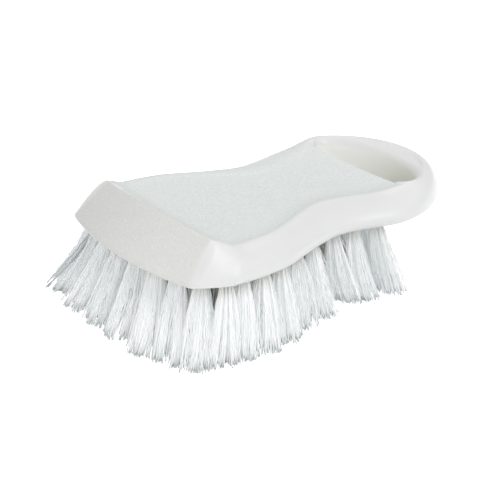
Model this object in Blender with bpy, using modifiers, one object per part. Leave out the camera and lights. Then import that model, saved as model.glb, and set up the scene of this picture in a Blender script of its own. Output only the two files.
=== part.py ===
"""Cutting board brush: a moulded plastic block with a slanted prow, a dished top and a hanging loop,
and rows of splayed bristle tufts, each held in its own blind hole by a flat wire staple."""

import math

import bmesh
import bpy
import numpy as np
from mathutils import Matrix, Vector

# Block, seen from above: +X is the tail, and the width is taken from the middle plane
BLOCK_LENGTH = 0.156
FRONT_HALF_WIDTH = 0.0440
BULGE_HALF_WIDTH = 0.0524
WAIST_HALF_WIDTH = 0.0386
TAIL_HALF_WIDTH = 0.0440
FRONT_BOW = 0.0062
RIDGE_HALF_WIDTH = 0.0388
RIDGE_SETBACK = 0.0140

# Block, seen from the side
TRIM_HEIGHT = 0.0310
RIDGE_THICKNESS = 0.0148
WAIST_THICKNESS = 0.0104
TAIL_THICKNESS = 0.0140
DISH_DEPTH = 0.0012

# Rounding of the walls
FRONT_FOOT_RADIUS = 0.0015
TAIL_FOOT_RADIUS = 0.0040
BULGE_SHOULDER = 0.0122
WAIST_SHOULDER = 0.0172
LOOP_SHOULDER = 0.0080
TAIL_SHOULDER = 0.0062
EDGE_BEVEL = 0.0011
EDGE_BEVEL_FROM_DEGREES = 38.0
SHARP_FROM_DEGREES = 35.0

# Hanging hole, a D with its straight edge towards the prow
HOLE_DEPTH_X = 0.0255
LOOP_END_WALL = 0.0085
LOOP_SIDE_WALL = 0.0096
HOLE_CORNER = 0.0042
HOLE_MOUTH_RADIUS = 0.0042
HOLE_FOOT_RADIUS = 0.0016
HOLE_TAIL_DRAFT = 0.0070

# Tufts
TUFT_HOLE_RADIUS = 0.0026
TUFT_HOLE_DEPTH = 0.0062
TUFT_CLEARANCE = 0.0003
EDGE_MARGIN = 0.0042
FRONT_ROW_SETBACK = 0.0126
FRONT_ROW_BOW = 0.0041
FRONT_ROW_EDGE = 0.0041
REAR_ROW_TO_HOLE = 0.0160
REAR_ROW_BOW = 0.0060
NEAR_FRONT_LEAN = 0.0075
FAR_FRONT_LEAN = 0.0200
REAR_LEAN = 0.0060
SIDE_LEAN = 0.0045
TUFT_SPREAD = 0.0042
STRAND_ROOT_CIRCLE = 0.00145
STRAND_ROOT_RADIUS = 0.00062
STRAND_TIP_RADIUS = 0.0011

# Staples
STAPLE_THICKNESS = 0.0005
STAPLE_HEIGHT = 0.0014
STAPLE_BITE = 0.0008

CUT_OVERRUN = 0.0020

OUTER_STRANDS = 6
INNER_STRANDS = 5
STRAND_START_DEGREES = 195.0
ROOT_SIDES = 7
TUFT_HOLE_SIDES = 9
ACROSS = 8
SIDE_STATIONS = 27
SHOULDER_STEPS = 5
TAIL_STATIONS = 8
FOOT_TURNS_DEGREES = (0.0, 45.0)
HOLE_STEPS = 20
HOLE_CORNER_STEPS = 3
MOUTH_STEPS = 3

# Each row of tufts: its share of the way from the front row to the rear row, and its tufts
TUFT_ROWS = (
    (0.0, 7), (0.097, 6), (0.185, 7), (0.284, 6), (0.385, 7),
    (0.508, 6), (0.64, 5), (0.785, 5), (0.892, 5), (1.0, 5),
)

# How far the front row's tips lie ahead of their roots and towards the far side, near tuft first
FRONT_ROW_LEANS = (
    (0.0102, -0.0097), (0.0159, -0.0106), (0.0191, -0.0091), (0.0196, -0.0045),
    (0.0201, -0.0009), (0.0214, 0.0026), (0.0237, 0.0067),
)

# The side outline runs from the front corner to the tail circle: a share of that length, and a
# share of the way from the waist's half-width to the bulge's (or, past the waist, to the tail's)
BULGE_OUTLINE_SHARES = ((0.065, 0.71), (0.155, 0.985), (0.25, 1.0), (0.39, 0.885), (0.51, 0.55), (0.63, 0.21))
WAIST_SHARE = 0.75
TAIL_OUTLINE_SHARES = ((0.865, 0.34), (0.94, 0.74))
SETBACK_FADE_SHARE = 0.30
STATION_CROWDING_SHARE = 0.45
RIM_LOW_SHARE = 0.12
RIM_RISE_SHARES = (0.98, 1.16)
SHOULDER_WIDEN_SHARES = (0.40, 0.80)
SHOULDER_NARROW_SHARES = (0.98, 1.18)
HOLE_FRONT_MOUTH_SHARE = 0.30
TAIL_ARC_DEGREES = 44.0
ROOT_LEAN_SHARE = 0.60
STRAND_MID_SHARE = 0.52
STRAND_BOW_SHARE = 0.40

BLOCK_Z = TRIM_HEIGHT
TAIL_CENTRE_X = BLOCK_LENGTH / 2 - TAIL_HALF_WIDTH
FRONT_CORNER_X = -BLOCK_LENGTH / 2 + FRONT_BOW
RIDGE_X = FRONT_CORNER_X + RIDGE_SETBACK
SIDE_LENGTH = TAIL_CENTRE_X - FRONT_CORNER_X
HOLE_FRONT_X = BLOCK_LENGTH / 2 - LOOP_END_WALL - HOLE_DEPTH_X
HOLE_HALF_WIDTH = TAIL_HALF_WIDTH - LOOP_SIDE_WALL
FRONT_ROW_X = -BLOCK_LENGTH / 2 + FRONT_ROW_SETBACK
REAR_ROW_X = HOLE_FRONT_X - REAR_ROW_TO_HOLE


def clear_scene():
    for obj in list(bpy.data.objects):
        bpy.data.objects.remove(obj, do_unlink=True)


def new_collection(name, hidden=False):
    collection = bpy.data.collections.new(name)
    bpy.context.scene.collection.children.link(collection)
    collection.hide_render = hidden
    return collection


def new_material(name, colour, roughness):
    material = bpy.data.materials.new(name)
    material.use_nodes = True
    shader = material.node_tree.nodes["Principled BSDF"]
    shader.inputs["Base Color"].default_value = (*colour, 1.0)
    shader.inputs["Roughness"].default_value = roughness
    shader.inputs["Metallic"].default_value = 0.0
    material.diffuse_color = (*colour, 1.0)
    return material


def smooth(value):
    """0 below 0, 1 above 1, and a smooth step between."""
    value = min(max(value, 0.0), 1.0)
    return value * value * (3.0 - 2.0 * value)


def spline(knots, at):
    """A smooth curve through (x, y) knots, with flat ends and slopes that never overshoot."""
    xs = np.array([knot[0] for knot in knots])
    ys = np.array([knot[1] for knot in knots])
    steps = np.diff(xs)
    slopes = np.diff(ys) / steps
    tangents = np.zeros(len(xs))
    for i in range(1, len(xs) - 1):
        if slopes[i - 1] * slopes[i] > 0:
            tangents[i] = 2 * slopes[i - 1] * slopes[i] / (slopes[i - 1] + slopes[i])
    tangents[0] = 1.5 * slopes[0] - 0.5 * tangents[1]
    i = int(min(max(np.searchsorted(xs, at) - 1, 0), len(steps) - 1))
    t = min(max((at - xs[i]) / steps[i], 0.0), 1.0)
    return (
        (1 + 2 * t) * (1 - t) ** 2 * ys[i]
        + t * (1 - t) ** 2 * steps[i] * tangents[i]
        + t * t * (3 - 2 * t) * ys[i + 1]
        + t * t * (t - 1) * steps[i] * tangents[i + 1]
    )


def outline_knots():
    """(x, half-width) of the widest level of the side walls, front corner to tail circle."""
    knots = [(FRONT_CORNER_X, FRONT_HALF_WIDTH)]
    for along, out in BULGE_OUTLINE_SHARES:
        width = WAIST_HALF_WIDTH + out * (BULGE_HALF_WIDTH - WAIST_HALF_WIDTH)
        knots.append((FRONT_CORNER_X + along * SIDE_LENGTH, width))
    knots.append((FRONT_CORNER_X + WAIST_SHARE * SIDE_LENGTH, WAIST_HALF_WIDTH))
    for along, out in TAIL_OUTLINE_SHARES:
        width = WAIST_HALF_WIDTH + out * (TAIL_HALF_WIDTH - WAIST_HALF_WIDTH)
        knots.append((FRONT_CORNER_X + along * SIDE_LENGTH, width))
    knots.append((TAIL_CENTRE_X, TAIL_HALF_WIDTH))
    return knots


OUTLINE = outline_knots()


def half_width(x):
    """Half-width of the block at its widest level."""
    if x > TAIL_CENTRE_X:
        return math.sqrt(max(TAIL_HALF_WIDTH**2 - (x - TAIL_CENTRE_X) ** 2, 0.0))
    return spline(OUTLINE, x)


def step_along(x, shares):
    """0 before the first share of the side's length, 1 after the second, smooth between."""
    start_x, end_x = (FRONT_CORNER_X + share * SIDE_LENGTH for share in shares)
    return smooth((x - start_x) / (end_x - start_x))


def shoulder(x):
    """How far the top's rim lies inside the widest outline: wide at the waist, narrow at the loop."""
    wide = BULGE_SHOULDER + step_along(x, SHOULDER_WIDEN_SHARES) * (WAIST_SHOULDER - BULGE_SHOULDER)
    return wide + step_along(x, SHOULDER_NARROW_SHARES) * (LOOP_SHOULDER - wide)


def foot_radius(x):
    """Radius of the lower edge, small at the prow and larger round the tail."""
    share = smooth((x - FRONT_CORNER_X) / SIDE_LENGTH)
    return FRONT_FOOT_RADIUS + share * (TAIL_FOOT_RADIUS - FRONT_FOOT_RADIUS)


def rim_thickness(x):
    """Height of the top's rim above the underside: high ridge, low grip, rising to the tail."""
    low_x = RIDGE_X + RIM_LOW_SHARE * SIDE_LENGTH
    fall = 1.0 - smooth((x - RIDGE_X) / (low_x - RIDGE_X))
    low = WAIST_THICKNESS + step_along(x, RIM_RISE_SHARES) * (TAIL_THICKNESS - WAIST_THICKNESS)
    return low + fall * (RIDGE_THICKNESS - low)


class Station:
    """One vertical rib of the wall: where it stands on the widest outline, and where its rim is."""

    def __init__(self, x, y, normal, rim, setback=0.0):
        self.x, self.y, self.normal, self.rim, self.setback = x, y, normal, rim, setback
        self.foot = foot_radius(x)
        self.rim_height = rim_thickness(rim[0])

    def at(self, inset, height, lean):
        """A point at a height over the underside, inset along the normal and leaning to the rim."""
        share = height / self.rim_height
        x = self.x + self.normal[0] * inset + self.setback * share
        y = self.y + self.normal[1] * inset
        x += lean * (self.rim[0] - self.setback - self.x)
        y += lean * (self.rim[1] - self.y)
        return Vector((x, y, BLOCK_Z + height))

    def profile(self):
        """(inset, height, lean to the rim) of the rib's levels, from the underside to the rim."""
        levels = []
        for turn in FOOT_TURNS_DEGREES:
            angle = math.radians(turn)
            levels.append((self.foot * (1 - math.sin(angle)), self.foot * (1 - math.cos(angle)), 0.0))
        for step in range(SHOULDER_STEPS + 1):
            angle = math.pi / 2 * step / SHOULDER_STEPS
            height = self.foot + (self.rim_height - self.foot) * math.sin(angle)
            levels.append((0.0, height, 1 - math.cos(angle)))
        return levels

    def points(self):
        return [self.at(*level) for level in self.profile()]


def side_stations(side):
    """Stations of one side, from the front corner to where the tail's end arc begins."""
    stations = []
    for i in range(SIDE_STATIONS + 1):
        along = i / SIDE_STATIONS
        crowded = along - STATION_CROWDING_SHARE * along * (1 - along)
        x = FRONT_CORNER_X + SIDE_LENGTH * crowded
        setback = RIDGE_SETBACK * (1 - smooth((x - FRONT_CORNER_X) / (SETBACK_FADE_SHARE * SIDE_LENGTH)))
        rim_x = x + setback
        if i == 0:
            rim_y = RIDGE_HALF_WIDTH
        else:
            rim_y = half_width(rim_x) - shoulder(rim_x)
            rim_y += (RIDGE_HALF_WIDTH - half_width(RIDGE_X) + BULGE_SHOULDER) * setback / RIDGE_SETBACK
        stations.append(Station(x, side * half_width(x), (0.0, -side), (rim_x, side * rim_y), setback))
    for i in range(1, TAIL_STATIONS + 1):
        angle = math.radians(90.0 - TAIL_ARC_DEGREES) * i / TAIL_STATIONS
        stations.append(tail_station(side * (math.pi / 2 - angle)))
    return stations


def tail_station(angle):
    """A station on the tail circle, at an angle from the +X axis."""
    c, s = math.cos(angle), math.sin(angle)
    x, y = TAIL_CENTRE_X + TAIL_HALF_WIDTH * c, TAIL_HALF_WIDTH * s
    reach = TAIL_HALF_WIDTH - shoulder(x) * s * s - TAIL_SHOULDER * c * c
    return Station(x, y, (-c, -s), (TAIL_CENTRE_X + reach * c, reach * s))


def front_stations():
    """Stations of the prow, between its two corners: a bowed foot under a straight ridge."""
    stations = []
    for j in range(1, ACROSS):
        share = 2 * j / ACROSS - 1
        x = FRONT_CORNER_X - FRONT_BOW * (1 - share * share)
        rim = (RIDGE_X, share * RIDGE_HALF_WIDTH)
        stations.append(Station(x, share * FRONT_HALF_WIDTH, (1.0, 0.0), rim, RIDGE_X - x))
    return stations


def tail_stations():
    """Stations of the tail's end, between its two sides."""
    reach = math.radians(TAIL_ARC_DEGREES)
    return [tail_station(reach * (2 * j / ACROSS - 1)) for j in range(1, ACROSS)]


def patch(front, rear, near, far):
    """A grid of points filled in between four edges that meet at their ends."""
    rows = []
    for i in range(len(near)):
        u = i / (len(near) - 1)
        row = []
        for j in range(len(front)):
            v = j / (len(front) - 1)
            across = near[i].lerp(far[i], v) + front[j].lerp(rear[j], u)
            corners = front[0].lerp(rear[0], u).lerp(front[-1].lerp(rear[-1], u), v)
            row.append(across - corners)
        rows.append(row)
    return rows


def top_patch(front, rear, near, far):
    """The dished top: the filled-in grid, sunk towards its middle line."""
    rows = patch(front, rear, near, far)
    for i, row in enumerate(rows):
        for j, point in enumerate(row):
            if 0 < i < len(rows) - 1 and 0 < j < len(row) - 1:
                v = 2 * j / (len(row) - 1) - 1
                point.z = BLOCK_Z + rim_thickness(point.x) - DISH_DEPTH * (1 - v * v)
    return rows


def make_block_body(collection, material):
    near, far = side_stations(-1), side_stations(1)
    front, rear = front_stations(), tail_stations()
    loop = near + rear + far[::-1] + front[::-1]
    columns = [station.points() for station in loop]
    for at, sign in ((0, -1), (len(near) + len(rear) + len(far) - 1, 1)):
        columns[at] = corner_points(loop[at], sign)

    bm = bmesh.new()
    rings = [[bm.verts.new(column[k]) for column in columns] for k in range(len(columns[0]))]
    for low, high in zip(rings, rings[1:]):
        for i in range(len(loop)):
            n = (i + 1) % len(loop)
            bm.faces.new((low[i], low[n], high[n], high[i]))
    bm.faces.new(rings[0][::-1])

    rim = rings[-1]
    a, b, c = len(near), len(near) + len(rear), len(near) + len(rear) + len(far)
    near_rim, rear_rim = rim[:a], [rim[a - 1]] + rim[a:b] + [rim[b]]
    far_rim, front_rim = rim[b:c][::-1], [rim[0]] + rim[c:][::-1] + [rim[c - 1]]
    edges = [[vert.co.copy() for vert in edge] for edge in (front_rim, rear_rim, near_rim, far_rim)]
    points = top_patch(*edges)
    grid = []
    for i, row in enumerate(points):
        if i == 0:
            grid.append(front_rim)
        elif i == len(points) - 1:
            grid.append(rear_rim)
        else:
            inner = [bm.verts.new(point) for point in row[1:-1]]
            grid.append([near_rim[i]] + inner + [far_rim[i]])
    for low, high in zip(grid, grid[1:]):
        for j in range(ACROSS):
            bm.faces.new((low[j], high[j], high[j + 1], low[j + 1]))
    bmesh.ops.recalc_face_normals(bm, faces=bm.faces)
    block = add_object("handle_block", bm, collection, material)
    bevel = block.modifiers.new("soft_edges", "BEVEL")
    bevel.width = EDGE_BEVEL
    bevel.segments = 2
    bevel.limit_method = "ANGLE"
    bevel.angle_limit = math.radians(EDGE_BEVEL_FROM_DEGREES)
    return block


def corner_points(station, sign):
    """The prow's corner rib, a straight line from the foot to the end of the ridge."""
    foot = Vector((station.x, sign * FRONT_HALF_WIDTH, BLOCK_Z))
    ridge = Vector((RIDGE_X, sign * RIDGE_HALF_WIDTH, BLOCK_Z + station.rim_height))
    points = []
    for inset, height, _ in station.profile():
        point = foot.lerp(ridge, height / station.rim_height)
        points.append(point + Vector((inset, -sign * inset, 0.0)))
    return points


def add_object(name, bm, collection, material=None):
    mesh = bpy.data.meshes.new(name)
    bm.to_mesh(mesh)
    bm.free()
    obj = bpy.data.objects.new(name, mesh)
    collection.objects.link(obj)
    if material:
        mesh.materials.append(material)
    return obj


def add_cutter(name, bm, collection):
    cutter = add_object(name, bm, collection)
    cutter.hide_render = True
    cutter.display_type = "WIRE"
    return cutter


def cut(target, cutter, name):
    modifier = target.modifiers.new(name, "BOOLEAN")
    modifier.operation = "DIFFERENCE"
    modifier.solver = "EXACT"
    modifier.object = cutter


def hole_outline(grow, draft):
    """The D of the hanging hole, wider by grow all round and shorter by the draft at the tail."""
    front_grow = grow * HOLE_FRONT_MOUTH_SHARE
    points = []
    for side in (-1, 1):
        centre = (HOLE_FRONT_X + HOLE_CORNER, side * (HOLE_HALF_WIDTH - HOLE_MOUTH_RADIUS - HOLE_CORNER))
        for step in range(HOLE_CORNER_STEPS + 1):
            turn = math.radians(90.0) * step / HOLE_CORNER_STEPS
            turn = turn if side > 0 else math.radians(90.0) - turn
            x = centre[0] - (HOLE_CORNER + front_grow) * math.cos(turn)
            points.append((x, centre[1] + side * (HOLE_CORNER + grow) * math.sin(turn)))
    reach = HOLE_DEPTH_X - HOLE_MOUTH_RADIUS - HOLE_CORNER + grow - draft
    for step in range(1, HOLE_STEPS):
        turn = math.pi / 2 - math.pi * step / HOLE_STEPS
        y = (HOLE_HALF_WIDTH - HOLE_MOUTH_RADIUS + grow) * math.sin(turn)
        points.append((HOLE_FRONT_X + HOLE_CORNER + reach * math.cos(turn), y))
    return points


def quarter_round(radius):
    """(depth, grow) of a rounded mouth: how much wider it is at each depth."""
    angles = [math.radians(90.0) * step / MOUTH_STEPS for step in range(MOUTH_STEPS + 1)]
    return [(radius * (1 - math.cos(angle)), radius * (1 - math.sin(angle))) for angle in angles]


def make_hole_cutter(collection):
    """The hanging hole: a D-shaped prism with rounded mouths, whose tail wall slopes inwards."""
    top = BLOCK_Z + TAIL_THICKNESS
    foot = [(BLOCK_Z + depth, grow) for depth, grow in quarter_round(HOLE_FOOT_RADIUS)]
    mouth = [(top - depth, grow) for depth, grow in quarter_round(HOLE_MOUTH_RADIUS)]
    levels = [(BLOCK_Z - CUT_OVERRUN, HOLE_FOOT_RADIUS)] + foot + mouth[::-1]
    levels.append((top + CUT_OVERRUN, HOLE_MOUTH_RADIUS))
    bm = bmesh.new()
    rings = []
    for z, grow in levels:
        draft = HOLE_TAIL_DRAFT * min(max((top - z) / TAIL_THICKNESS, 0.0), 1.0)
        rings.append([bm.verts.new((x, y, z)) for x, y in hole_outline(grow, draft)])
    for low, high in zip(rings, rings[1:]):
        for i in range(len(low)):
            n = (i + 1) % len(low)
            bm.faces.new((low[i], low[n], high[n], high[i]))
    bm.faces.new(rings[0][::-1])
    bm.faces.new(rings[-1])
    bmesh.ops.recalc_face_normals(bm, faces=bm.faces)
    return add_cutter("hanging_hole_cutter", bm, collection)


class Tuft:
    """Where a tuft's root is on the underside, and how far its tips lie outwards from there."""

    def __init__(self, row, place, x, y, lean, outer):
        self.name = f"tuft_row{row + 1:02d}_{place + 1}"
        self.x, self.y, self.lean, self.outer = x, y, lean, outer

    def at(self, z):
        """Centre of the tuft at a height: straight in its hole, then bending over to its tips."""
        share = (BLOCK_Z - z) / TRIM_HEIGHT
        share *= ROOT_LEAN_SHARE + (1 - ROOT_LEAN_SHARE) * max(share, 0.0)
        return Vector((self.x + share * self.lean[0], self.y + share * self.lean[1], z))


def lean_at(ahead, aside):
    """Behind the front row, tips lean outwards and so evenly that no strands cross."""
    front_lean = NEAR_FRONT_LEAN + (FAR_FRONT_LEAN - NEAR_FRONT_LEAN) * (1 + aside) / 2
    return REAR_LEAN * (1 - ahead) - front_lean * ahead * ahead, SIDE_LEAN * aside


def tuft_layout():
    tufts = []
    for row, (row_share, count) in enumerate(TUFT_ROWS):
        row_x = FRONT_ROW_X + (REAR_ROW_X - FRONT_ROW_X) * row_share
        reach = half_width(row_x) - foot_radius(row_x) - EDGE_MARGIN
        if row == 0:
            reach = (FRONT_HALF_WIDTH + RIDGE_HALF_WIDTH) / 2 - FRONT_ROW_EDGE
        for place in range(count):
            share = 2 * place / (count - 1) - 1
            x = row_x
            if row == 0:
                x += FRONT_ROW_BOW * share * share
            if row == len(TUFT_ROWS) - 1:
                x += REAR_ROW_BOW * (1 - share * share)
            y = reach * share
            outer = row in (0, len(TUFT_ROWS) - 1) or place in (0, count - 1)
            lean = lean_at(1 - row_share, share)
            if row == 0:
                lean = (-FRONT_ROW_LEANS[place][0], FRONT_ROW_LEANS[place][1])
            tufts.append(Tuft(row, place, x, y, lean, outer))
    return tufts


def add_leaning_prism(bm, tuft, low_z, high_z, radius, sides):
    """A cylinder that leans with its tuft while its two ends stay level."""
    made = bmesh.ops.create_cone(
        bm, cap_ends=True, segments=sides, radius1=radius, radius2=radius, depth=high_z - low_z
    )
    for vert in made["verts"]:
        z = high_z if vert.co.z > 0 else low_z
        centre = tuft.at(z)
        vert.co = Vector((centre.x + vert.co.x, centre.y + vert.co.y, z))


def add_staple(bm, tuft, clearance):
    """The flat wire across the closed end of the hole, with its ends in the hole's wall."""
    top = BLOCK_Z + TUFT_HOLE_DEPTH - 2 * TUFT_CLEARANCE + clearance
    low = top - STAPLE_HEIGHT - 2 * clearance
    length = 2 * (TUFT_HOLE_RADIUS + STAPLE_BITE + clearance)
    thickness = STAPLE_THICKNESS + 2 * clearance
    centre = tuft.at((top + low) / 2)
    place = Matrix.Translation(centre) @ Matrix.Diagonal((thickness, length, top - low, 1.0))
    bmesh.ops.create_cube(bm, size=1.0, matrix=place)


def strand_circles(outer):
    """(height, circle, radius) of a strand's rings: the outer tufts' strands bow outwards."""
    root = (BLOCK_Z, STRAND_ROOT_CIRCLE, STRAND_ROOT_RADIUS)
    tip = (0.0, TUFT_SPREAD, STRAND_TIP_RADIUS)
    if not outer:
        return (root, tip)
    middle = (
        TRIM_HEIGHT * (1 - STRAND_MID_SHARE),
        STRAND_ROOT_CIRCLE + STRAND_BOW_SHARE * (TUFT_SPREAD - STRAND_ROOT_CIRCLE),
        STRAND_ROOT_RADIUS + STRAND_BOW_SHARE * (STRAND_TIP_RADIUS - STRAND_ROOT_RADIUS),
    )
    return (root, middle, tip)


def add_strand(bm, tuft, angle):
    """One three-sided strand from the folded root down to its flat tip; returns its root ring."""
    rings = []
    for z, circle, radius in strand_circles(tuft.outer):
        centre = tuft.at(z) + circle * Vector((math.cos(angle), math.sin(angle), 0.0))
        ring = []
        for corner in range(3):
            turn = angle + 2 * math.pi * corner / 3
            ring.append(bm.verts.new(centre + radius * Vector((math.cos(turn), math.sin(turn), 0.0))))
        rings.append(ring)
    for high, low in zip(rings, rings[1:]):
        for i in range(3):
            n = (i + 1) % 3
            bm.faces.new((low[i], low[n], high[n], high[i]))
    bm.faces.new(rings[-1][::-1])
    return rings[0]


def loop_edges(bm, ring):
    found = []
    for i, vert in enumerate(ring):
        pair = (vert, ring[(i + 1) % len(ring)])
        found.append(bm.edges.get(pair) or bm.edges.new(pair))
    return found


def make_tuft(tuft, parts, helpers, material):
    """A bundle's folded root with its staple, and the strands that splay from it."""
    bm = bmesh.new()
    root_top = BLOCK_Z + TUFT_HOLE_DEPTH - TUFT_CLEARANCE - STAPLE_HEIGHT / 2
    add_leaning_prism(
        bm, tuft, BLOCK_Z, root_top, TUFT_HOLE_RADIUS - TUFT_CLEARANCE, ROOT_SIDES
    )
    foot = [face for face in bm.faces if all(vert.co.z < (BLOCK_Z + root_top) / 2 for vert in face.verts)]
    outline = list(foot[0].verts)
    bmesh.ops.delete(bm, geom=foot, context="FACES_ONLY")
    rings = [outline]
    strands = OUTER_STRANDS if tuft.outer else INNER_STRANDS
    for strand in range(strands):
        turn = math.radians(STRAND_START_DEGREES) + 2 * math.pi * strand / strands
        rings.append(add_strand(bm, tuft, turn))
    edges = [edge for ring in rings for edge in loop_edges(bm, ring)]
    bmesh.ops.triangle_fill(bm, edges=edges, use_beauty=True, normal=(0.0, 0.0, -1.0))
    bmesh.ops.recalc_face_normals(bm, faces=bm.faces)
    root = add_object(tuft.name, bm, parts, material)

    bm = bmesh.new()
    add_staple(bm, tuft, 0.0)
    staple = add_cutter(f"{tuft.name}_staple", bm, helpers)
    union = root.modifiers.new("staple", "BOOLEAN")
    union.operation = "UNION"
    union.solver = "EXACT"
    union.object = staple
    return root


def cut_tuft_holes(block, tufts, helpers):
    bm = bmesh.new()
    for tuft in tufts:
        top = BLOCK_Z + TUFT_HOLE_DEPTH
        add_leaning_prism(bm, tuft, BLOCK_Z - CUT_OVERRUN, top, TUFT_HOLE_RADIUS, TUFT_HOLE_SIDES)
    cut(block, add_cutter("tuft_hole_cutters", bm, helpers), "tuft_holes")
    bm = bmesh.new()
    for tuft in tufts:
        add_staple(bm, tuft, TUFT_CLEARANCE)
    cut(block, add_cutter("staple_slot_cutters", bm, helpers), "staple_slots")


def main():
    clear_scene()
    parts = new_collection("cutting_board_brush")
    helpers = new_collection("cutters", hidden=True)
    plastic = new_material("moulded_plastic", (0.79, 0.80, 0.79), 0.45)
    bristle = new_material("white_bristle", (0.90, 0.91, 0.92), 0.50)

    tufts = tuft_layout()
    block = make_block_body(parts, plastic)
    cut(block, make_hole_cutter(helpers), "hanging_hole")
    cut_tuft_holes(block, tufts, helpers)
    block.data.shade_smooth()
    block.data.set_sharp_from_angle(angle=math.radians(SHARP_FROM_DEGREES))
    for tuft in tufts:
        make_tuft(tuft, parts, helpers, bristle)

    frame = bpy.data.objects.new("brush_frame", None)
    parts.objects.link(frame)
    corners = [Vector(corner) for obj in parts.objects if obj is not frame for corner in obj.bound_box]
    low, high = Vector(map(min, *corners)), Vector(map(max, *corners))
    frame.location = (-(low.x + high.x) / 2, -(low.y + high.y) / 2, 0.0)
    for obj in list(parts.objects) + list(helpers.objects):
        if obj is not frame:
            obj.parent = frame


main()
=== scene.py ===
"""Photographed look of the cutting board brush.

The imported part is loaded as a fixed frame, the block is rebuilt with finer walls, and each tuft
becomes a bundle of fine crimped filaments.
"""

import math

import bmesh
import bpy
import numpy as np
from mathutils import Matrix, Vector


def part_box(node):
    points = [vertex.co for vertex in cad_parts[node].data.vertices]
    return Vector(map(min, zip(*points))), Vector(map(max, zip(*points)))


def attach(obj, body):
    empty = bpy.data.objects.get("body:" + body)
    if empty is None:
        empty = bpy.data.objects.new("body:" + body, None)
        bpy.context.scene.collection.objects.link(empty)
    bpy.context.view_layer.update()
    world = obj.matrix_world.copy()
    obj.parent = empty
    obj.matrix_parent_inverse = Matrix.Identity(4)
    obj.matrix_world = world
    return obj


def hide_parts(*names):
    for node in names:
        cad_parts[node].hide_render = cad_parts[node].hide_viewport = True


SEED = 11

# Block, the same driving sizes as the part's: +X is the tail, widths from the middle plane
BLOCK_LENGTH = 0.156
FRONT_HALF_WIDTH = 0.0440
BULGE_HALF_WIDTH = 0.0524
WAIST_HALF_WIDTH = 0.0386
TAIL_HALF_WIDTH = 0.0440
FRONT_BOW = 0.0062
RIDGE_HALF_WIDTH = 0.0388
RIDGE_SETBACK = 0.0140
RIDGE_THICKNESS = 0.0148
WAIST_THICKNESS = 0.0104
TAIL_THICKNESS = 0.0140
DISH_DEPTH = 0.0012
FRONT_FOOT_RADIUS = 0.0015
TAIL_FOOT_RADIUS = 0.0040
BULGE_SHOULDER = 0.0122
WAIST_SHOULDER = 0.0172
LOOP_SHOULDER = 0.0080
TAIL_SHOULDER = 0.0062
EDGE_BEVEL = 0.0012
EDGE_BEVEL_SEGMENTS = 3
EDGE_BEVEL_FROM_DEGREES = 33.0
SHARP_FROM_DEGREES = 40.0

# Hanging hole
HOLE_DEPTH_X = 0.0255
LOOP_END_WALL = 0.0085
LOOP_SIDE_WALL = 0.0096
HOLE_CORNER = 0.0042
HOLE_MOUTH_RADIUS = 0.0042
HOLE_FOOT_RADIUS = 0.0016
HOLE_TAIL_DRAFT = 0.0070
CUT_OVERRUN = 0.0020

# Outline and rim shares of the side's length, front corner to tail circle
BULGE_OUTLINE_SHARES = (
    (0.065, 0.71), (0.155, 0.985), (0.25, 1.0), (0.39, 0.885), (0.51, 0.55), (0.63, 0.21),
)
WAIST_SHARE = 0.75
TAIL_OUTLINE_SHARES = ((0.865, 0.34), (0.94, 0.74))
SETBACK_FADE_SHARE = 0.30
STATION_CROWDING_SHARE = 0.45
RIM_LOW_SHARE = 0.12
RIM_RISE_SHARES = (0.98, 1.16)
SHOULDER_WIDEN_SHARES = (0.40, 0.80)
SHOULDER_NARROW_SHARES = (0.98, 1.18)
HOLE_FRONT_MOUTH_SHARE = 0.30
TAIL_ARC_DEGREES = 44.0

# Mesh counts
ACROSS = 26
SIDE_STATIONS = 44
SHOULDER_STEPS = 7
TAIL_STATIONS = 16
FOOT_TURNS_DEGREES = (0.0, 22.5, 45.0, 67.5)
HOLE_STEPS = 72
HOLE_CORNER_STEPS = 8
MOUTH_STEPS = 8

# Where one surface of the block fades into the next
GRIP_FADE = 0.0042
GRIP_FADE_DOWN = 0.0010
GRIP_HOLE_MARGIN = 0.0010
# On the far side the darker stippled panel reaches further down the shoulder: painted shade on
# that side.
GRIP_FAR_PAINTED_SHADE_REACH = 0.0100
PROW_FADE = 0.0020
HOLE_FADE = 0.0010
HOLE_FACING_REACH = 0.0040
# A ramp across the block, 0 on the far side and 1 on the near side, over which light and shade
# are painted on the prow and in the hanging hole.
PAINTED_LIGHT_SIDE_REACH = 0.0700
HOLE_MIDDLE_SHARE = 1 / 3
HOLE_RIM_DEPTH = 0.0015
HOLE_RIM_FADE = 0.0050
# Painted shade on the stippled top reaches this far in from its front and near rims.
MARGIN_REACH = 0.0110
# A painted highlight on the wall reaches this far to both sides of the near rim.
CREST_REACH = 0.0080

# Stippled panel: how deep it lies, and the smooth bands beside the ridge and along the near bulge
PANEL_DEPTH = 0.0008
RIDGE_BAND = 0.0025
NEAR_BAND = 0.0024
NEAR_BAND_END_X = -0.0050
NEAR_BAND_FADE = 0.0300

# Tufts: their holes in the block, and how they bend over to their tips
TUFT_HOLE_RADIUS = 0.0026
TUFT_HOLE_DEPTH = 0.0062
TUFT_HOLE_SIDES = 14
ROOT_DEPTH = 0.0020
ROOT_RADIUS = 0.0025
ROOT_LEAN_SHARE = 0.60
LEVEL_TOLERANCE = 0.0002
INNER_TIP_CORNERS = 15

# Filaments: their number and form, and how they gather in locks and fan out to ragged tips
OUTER_FILAMENTS = 230
INNER_FILAMENTS = 110
FILAMENT_RADIUS = 0.00019
FILAMENT_RINGS = 24
FILAMENT_SIDES = 3
THICKNESS_SPREAD = (0.85, 1.15)
LOCKS = 30
LOCK_RADIUS_SHARE = 0.16
DISC_POWER = 0.42
FAN_POWER = 0.92
TIP_REACH_OUTWARD = 0.0080
TIP_REACH_ALONG = 0.0082
TIP_SCATTER = 0.0005
TIP_RAGGED = 0.0012
TIP_RAGGED_POWER = 1.6

# No tip lies further out than this in x and y, measured from the middle of the CAD box
TIP_LIMIT = (0.0862, 0.0572)

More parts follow.
